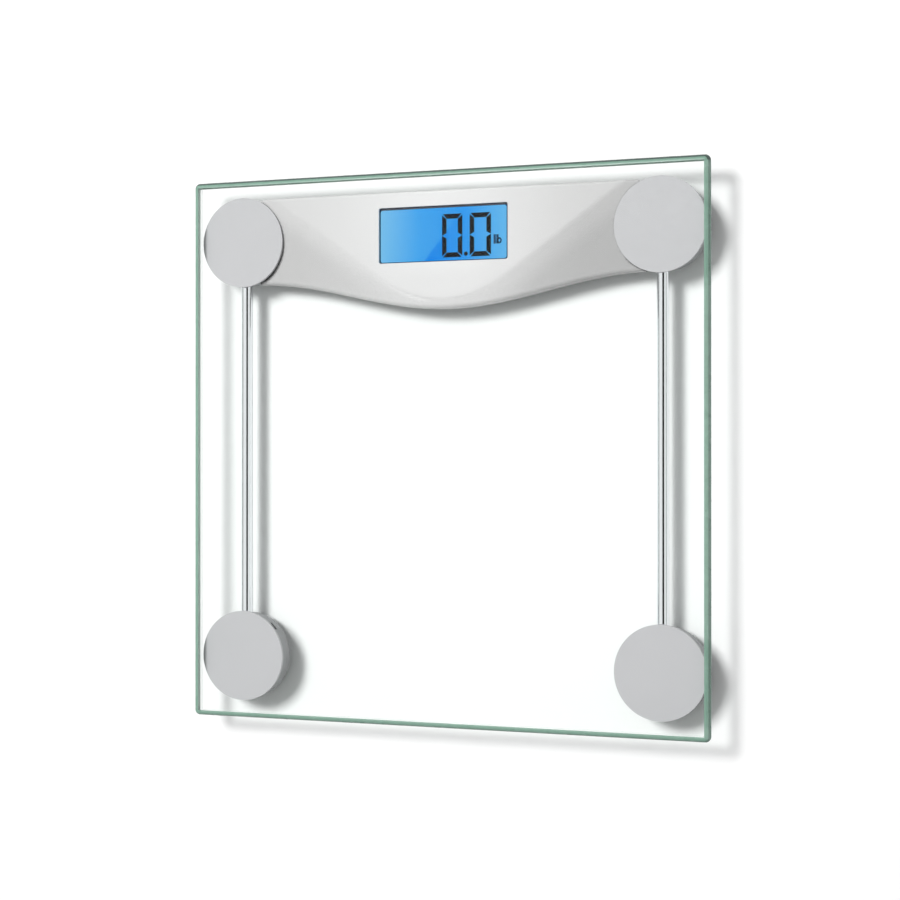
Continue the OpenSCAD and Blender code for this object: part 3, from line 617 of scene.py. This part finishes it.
def housing_shell():
    """The upper shell: an outer and an inner roof, each with a skirt down to the split line."""
    columns, rows = 200, 60
    verts, faces = [], []
    layers = []
    for inset, wall in ((0.0, 0.0), (SHELL_WALL, SHELL_WALL)):
        grid = shell_grid(inset, wall, columns, rows)
        index = []
        for column in grid:
            index.append(list(range(len(verts), len(verts) + len(column))))
            verts += column
        layers.append(index)
        m = len(grid[0])
        for i in range(columns):
            for k in range(m - 1):
                faces.append((index[i][k], index[i + 1][k], index[i + 1][k + 1], index[i][k + 1]))
    m = len(layers[0][0])
    skirts = []
    for index in layers:
        border = [index[i][0] for i in range(columns + 1)]
        border += [index[columns][k] for k in range(1, m)]
        border += [index[i][m - 1] for i in range(columns - 1, -1, -1)]
        border += [index[0][k] for k in range(m - 2, 0, -1)]
        foot = list(range(len(verts), len(verts) + len(border)))
        verts += [(verts[b][0], verts[b][1], SPLIT_Z) for b in border]
        skirts.append(foot)
        n = len(border)
        faces += [(border[i], border[(i + 1) % n], foot[(i + 1) % n], foot[i]) for i in range(n)]
    n = len(skirts[0])
    faces += [(skirts[0][i], skirts[0][(i + 1) % n], skirts[1][(i + 1) % n], skirts[1][i])
              for i in range(n)]
    return mesh_object("housing_shell", verts, faces, [shield_paint], angle=40)


def cut(target, cutter):
    """Takes the cutter out of the target and removes the cutter."""
    m = target.modifiers.new("cut", "BOOLEAN")
    m.operation = "DIFFERENCE"
    m.solver = "EXACT"
    m.object = cutter
    bpy.context.view_layer.objects.active = target
    with bpy.context.temp_override(object=target, active_object=target):
        bpy.ops.object.modifier_apply(modifier="cut")
    bpy.data.objects.remove(cutter, do_unlink=True)


shell = housing_shell()
WINDOW = (75.5 * MM, 30.3 * MM)
WINDOW_Y = 116.25 * MM
window_cutter = extrude_outline(
    "window_cutter", rounded_rect(*WINDOW, 1.2 * MM, centre=(0, WINDOW_Y)), 14 * MM, 20 * MM, [])
cut(shell, window_cutter)
POD_CUT_R = 24 * MM
CAP_CUT_R = 25.3 * MM
CAP_LEDGE_Z = 14.8 * MM
CAP_CENTRES = [centre_xy("corner_cap_" + corner) for corner in ("rear_left", "rear_right")]
for cx, cy in CAP_CENTRES:
    pod_cutter = lathe("pod_cutter", [(0, 5 * MM), (POD_CUT_R, 5 * MM), (POD_CUT_R, CAP_LEDGE_Z),
                                      (CAP_CUT_R, CAP_LEDGE_Z), (CAP_CUT_R, 20 * MM),
                                      (0, 20 * MM)],
                       [], at=(cx - 0.16 * MM, cy - 0.12 * MM, 0), steps=160)
    cut(shell, pod_cutter)
smooth_by_angle(shell, 30)


def smoothstep(a, b, v):
    t = min(max((v - a) / (b - a), 0.0), 1.0)
    return t * t * (3 - 2 * t)


def paint_shade(x, y):
    """Painted shade and highlight in the paint's colour: bright on the shield, painted shade on the
    flanks (softest at the left, lighter along the near lip), a painted shade line and a painted
    highlight streak along the crease, painted shade low in the middle, and painted light that falls
    off towards both ends.
    """
    d = crease_distance(x, y)
    soft = 2.0 * MM + 9 * MM * smoothstep(-0.02, -0.08, x)
    flank = smoothstep(-0.6 * MM, soft, d)
    middle = 1 - smoothstep(0.010, 0.045, abs(x))
    # painted shade on the flanks, growing away from the crease and stronger on the right
    flank_shade = 0.07 + (0.11 + 0.08 * smoothstep(0, 0.06, x)) * smoothstep(0, 16 * MM, d)
    flank_shade *= 1 - 0.3 * middle
    lip = smoothstep(3.4 * MM, 1.0 * MM, y - low_y(x))
    light_fall = 0.22 * smoothstep(-0.005, 0.09, x) + 0.15 * smoothstep(0.0, -0.1, x)
    line = math.exp(-((d - 0.2 * MM) / (0.5 * MM)) ** 2) * middle
    crease_highlight = math.exp(-((d - 1.6 * MM) / (0.8 * MM)) ** 2) * smoothstep(-0.004, -0.016, x) * middle
    low_shade = 0.035 * middle * smoothstep(0.100, 0.092, y)
    tone = 1 - flank * flank_shade * (1 - 0.5 * lip) - low_shade - 0.10 * line + 0.15 * crease_highlight
    return tone * (1 - light_fall)


GAP_R = 25.6 * MM
GAP_MOUTH_Z = SHIELD_Z - 2.6 * MM
GAP_MOUTH_SHADE = 0.8
GAP_FOOT_SHADE = 0.25
shade = shell.data.color_attributes.new("shade", "FLOAT_COLOR", "POINT")
for vertex in shell.data.vertices:
    x, y, z = vertex.co
    v = paint_shade(x, y)
    # painted shade in the gap round each rear cap: dark at its foot and a little dark at its mouth
    if any(math.hypot(x - cx, y - cy) < GAP_R for cx, cy in CAP_CENTRES):
        v *= GAP_MOUTH_SHADE if z > GAP_MOUTH_Z else GAP_FOOT_SHADE
    shade.data[vertex.index].color = (v, v, v, 1)
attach(shell, ROOT)
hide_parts("top_cover")

# ---------------------------------------------------------------- display

lcd_lo, lcd_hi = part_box("lcd_panel")
LCD_TOP = lcd_hi[2]

# lit from both ends, with a painted reflection: the blue left of a slanting line is paler than the
# blue right of it
GLOW_HALF = 37.8 * MM
GLARE_SLOPE = 0.825
GLARE_START = (-12 * MM, 101.1 * MM)
lcd_mat, lnt, lbsdf = new_material("lit_display")
coord = node(lnt, "ShaderNodeTexCoord")
split = node(lnt, "ShaderNodeSeparateXYZ")
lnt.links.new(coord.outputs["Object"], split.inputs["Vector"])
glare_side_blue = ramp(lnt, map_range(lnt, split.outputs["X"], -GLOW_HALF, 14 * MM),
                 [(0.0, linear(122, 196, 240)), (0.45, linear(60, 165, 240)),
                  (1.0, linear(36, 152, 238))])
right_blue = ramp(lnt, map_range(lnt, split.outputs["X"], -8 * MM, GLOW_HALF),
                  [(0.0, linear(0, 134, 236)), (0.45, linear(40, 154, 240)),
                   (1.0, linear(98, 186, 238))])
slant = math_node(lnt, "MULTIPLY_ADD", split.outputs["Y"], -GLARE_SLOPE,
                  GLARE_SLOPE * GLARE_START[1] - GLARE_START[0])
across = math_node(lnt, "ADD", split.outputs["X"], slant)
glare_mask = map_range(lnt, across, -0.4 * MM, 0.6 * MM)
blue = node(lnt, "ShaderNodeMix", data_type="RGBA")
lnt.links.new(glare_mask, blue.inputs["Factor"])
lnt.links.new(glare_side_blue, blue.inputs["A"])
lnt.links.new(right_blue, blue.inputs["B"])
grain = ramp(lnt, noise(lnt, 2200, 2.0), [(0.3, grey(0.97)), (0.7, grey(1.0))])
lnt.links.new(multiply_colours(lnt, blue.outputs["Result"], grain), lbsdf.inputs["Emission Color"])
lbsdf.inputs["Emission Strength"].default_value = 0.93
lbsdf.inputs["Base Color"].default_value = linear(2, 24, 48)
lbsdf.inputs["Roughness"].default_value = 0.18
lbsdf.inputs["Specular IOR Level"].default_value = 0.01
lcd_ink = surface("display_ink", linear(8, 8, 10), rough=0.5, speckle=(2000, 0.2), specular=0.03)
# the unit mark's print colour, also used for the painted shade round the lit area
print_and_edge_shade_ink = surface("display_print_and_edge_shade", linear(20, 62, 98), rough=0.5, speckle=(2000, 0.1),
                      specular=0.05)

panel = extrude_outline(
    "display_sheet",
    rounded_rect(lcd_hi[0] - lcd_lo[0], lcd_hi[1] - lcd_lo[1], 0.8 * MM, 4,
                 centre=((lcd_lo[0] + lcd_hi[0]) / 2, (lcd_lo[1] + lcd_hi[1]) / 2)),
    lcd_lo[2], LCD_TOP, [lcd_mat])
bevel(panel, 0.2 * MM)
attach(panel, ROOT)
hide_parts("lcd_panel")

INK_FOOT = LCD_TOP - 0.02 * MM
INK_TOP = LCD_TOP + 0.06 * MM
BORDER_TOP = LCD_TOP + 0.05 * MM
LIP_TOP = LCD_TOP + 0.08 * MM


def on_display(ob):
    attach(ob, ROOT)


def bar(points, name, mat=lcd_ink, z1=INK_TOP):
    """A flat block on the display from an outline in millimetres: ink for the digits and the unit
    mark, painted shade for the window's top lip.
    """
    on_display(extrude_outline(name, [(x * MM, y * MM) for x, y in points], INK_FOOT, z1, [mat]))


def digit_zero(x0, x1, y0, y1, t, name):
    """The six lit bars of a seven-bar zero, each with mitred ends."""
    g = 0.16
    ym = (y0 + y1) / 2
    m = t / 2
    bars = {
        "top": [(x0 + g + 0.3, y1), (x1 - g - 0.3, y1), (x1 - t - g, y1 - t), (x0 + t + g, y1 - t)],
        "bottom": [(x0 + t + g, y0 + t), (x1 - t - g, y0 + t), (x1 - g - 0.3, y0),
                   (x0 + g + 0.3, y0)],
        "upper_left": [(x0, y1 - g - 0.5), (x0 + t, y1 - t - g), (x0 + t, ym + m + g),
                       (x0 + 0.3, ym + g), (x0, ym + g)],
        "lower_left": [(x0, y0 + g + 0.5), (x0, ym - g), (x0 + 0.3, ym - g),
                       (x0 + t, ym - m - g), (x0 + t, y0 + t + g)],
        "upper_right": [(x1, y1 - g - 0.5), (x1, ym + g), (x1 - 0.3, ym + g),
                        (x1 - t, ym + m + g), (x1 - t, y1 - t - g)],
        "lower_right": [(x1, y0 + g + 0.5), (x1 - t, y0 + t + g), (x1 - t, ym - m - g),
                        (x1 - 0.3, ym - g), (x1, ym - g)],
    }
    for key, points in bars.items():
        bar(points, f"{name}_{key}")


digit_zero(-0.9, 10.9, 103.3, 126.7, 2.6, "tens_digit")
digit_zero(15.2, 27.5, 103.3, 126.7, 2.6, "units_digit")
DOT_R = 1.15 * MM
on_display(lathe("decimal_dot", [(0, INK_FOOT), (DOT_R, INK_FOOT), (DOT_R, INK_TOP), (0, INK_TOP)],
                 [lcd_ink], at=(13.0 * MM, 104.9 * MM, 0), steps=32))


def unit_letters():
    """The small unit mark: an upright bar, and a bar with a ring beside it."""
    y0, y1 = 109.6, 114.6
    bar([(29.0, y0), (30.3, y0), (30.3, y1), (29.0, y1)], "unit_stem_1", print_and_edge_shade_ink)
    bar([(30.6, y0), (31.9, y0), (31.9, y1), (30.6, y1)], "unit_stem_2", print_and_edge_shade_ink)
    turn = [2 * math.pi * i / 24 for i in range(24)]
    mid_y = y0 + 1.7
    outer = [((32.2 + 1.5 * math.cos(a)) * MM, (mid_y + 1.7 * math.sin(a)) * MM) for a in turn]
    inner = [((32.3 + 0.55 * math.cos(a)) * MM, (mid_y + 0.75 * math.sin(a)) * MM) for a in turn]
    on_display(flat_ring("unit_ring", outer, inner, INK_FOOT, INK_TOP, [print_and_edge_shade_ink]))


unit_letters()

# painted shade round the lit area, where the window's edge shades it, and a grey bar painted on the
# display for the shade of the window's top wall
w, h = WINDOW
border_outer = rounded_rect(w + 1.2 * MM, h + 1.2 * MM, 1.6 * MM, centre=(0, WINDOW_Y))
border_inner = rounded_rect(w - 1.7 * MM, h - 1.9 * MM, 1.2 * MM,
                            centre=(-0.45 * MM, WINDOW_Y - 0.3 * MM))
on_display(flat_ring("display_shade_border", border_outer, border_inner, INK_FOOT, BORDER_TOP,
                     [print_and_edge_shade_ink]))
# painted shade: a grey bar standing in for the shaded top wall of the window
lip_shade_grey = surface("display_lip_shade", linear(84, 80, 88), rough=0.5, speckle=(2000, 0.1), specular=0.05)
LIP_X, LIP_Y = w / MM / 2 - 0.4, (WINDOW_Y + h / 2) / MM
bar([(-LIP_X, LIP_Y - 1.0), (LIP_X, LIP_Y - 1.0), (LIP_X, LIP_Y + 0.4), (-LIP_X, LIP_Y + 0.4)],
    "display_lip_shade", lip_shade_grey, LIP_TOP)

# ---------------------------------------------------------------- corner units

for corner in CORNERS:
    paint("corner_cap_" + corner, cap_paint)
    bevel(NODES["corner_cap_" + corner], 0.25 * MM)
    paint("foot_housing_" + corner, pod_shade_grey)
    paint("load_cell_" + corner, spring_steel)
    paint("foot_" + corner, dark_plastic)
    paint("foot_pad_" + corner, pad_rubber)
    paint("wires_" + corner, red_wire if "rear" in corner else white_wire)

for side in ("tube_left", "tube_right"):
    paint(side, chrome)

# ---------------------------------------------------------------- the rest of the frame

for name, mat in {
    "bottom_cover": dark_plastic, "battery_door": dark_plastic, "display_gasket": foam,
    "lcd_frame": white_plastic, "light_guide": acrylic, "backlight_leds": led_body,
    "zebra_strip": elastomer, "main_pcb": board_green, "board_components": epoxy,
    "pcb_screws": steel, "cover_screws": steel, "cap_screws": steel, "tact_switch": epoxy,
    "switch_plunger": brass, "unit_button": light_plastic, "bridge_contact": steel,
    "positive_terminal": steel, "negative_terminal": steel, "battery_leads": red_wire,
    "strain_gauges": gauge_film, "rating_label": label_foil,
}.items():
    paint(name, mat)

# ---------------------------------------------------------------- cells

# each cell is turned about its length, and the second one lies the other way round
for name, flip in (("battery_1", 1), ("battery_2", -1)):
    lo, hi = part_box(name)
    r = (hi[1] - lo[1]) / 2
    length = hi[0] - lo[0]
    nub = 0.9 * MM
    body = length - nub
    profile = [
        (0, 0.35 * MM), (3.2 * MM, 0.35 * MM), (3.5 * MM, 0.1 * MM), (4.5 * MM, 0.0),
        (r - 0.35 * MM, 0.15 * MM), (r, 0.6 * MM), (r, 9 * MM), (r, 9.2 * MM),
        (r, body - 2.4 * MM), (r, body - 0.5 * MM), (r - 0.4 * MM, body),
        (2.6 * MM, body), (2.4 * MM, body - 0.2 * MM), (1.95 * MM, body - 0.1 * MM),
        (1.9 * MM, length - 0.25 * MM), (1.7 * MM, length), (0, length),
    ]
    slots = [1, 1, 1, 1, 0, 0, 0, 0, 2, 0, 0, 1, 1, 1, 1, 1]
    x0 = lo[0] if flip > 0 else hi[0]
    profile = [(a, b * flip) for a, b in profile]
    cell = lathe(name + "_cell", profile, [sleeve_blue, steel, sleeve_silver], slots=slots,
                 at=(x0, (lo[1] + hi[1]) / 2, (lo[2] + hi[2]) / 2), steps=64, axis="X")
    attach(cell, ROOT)
    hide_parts(name)
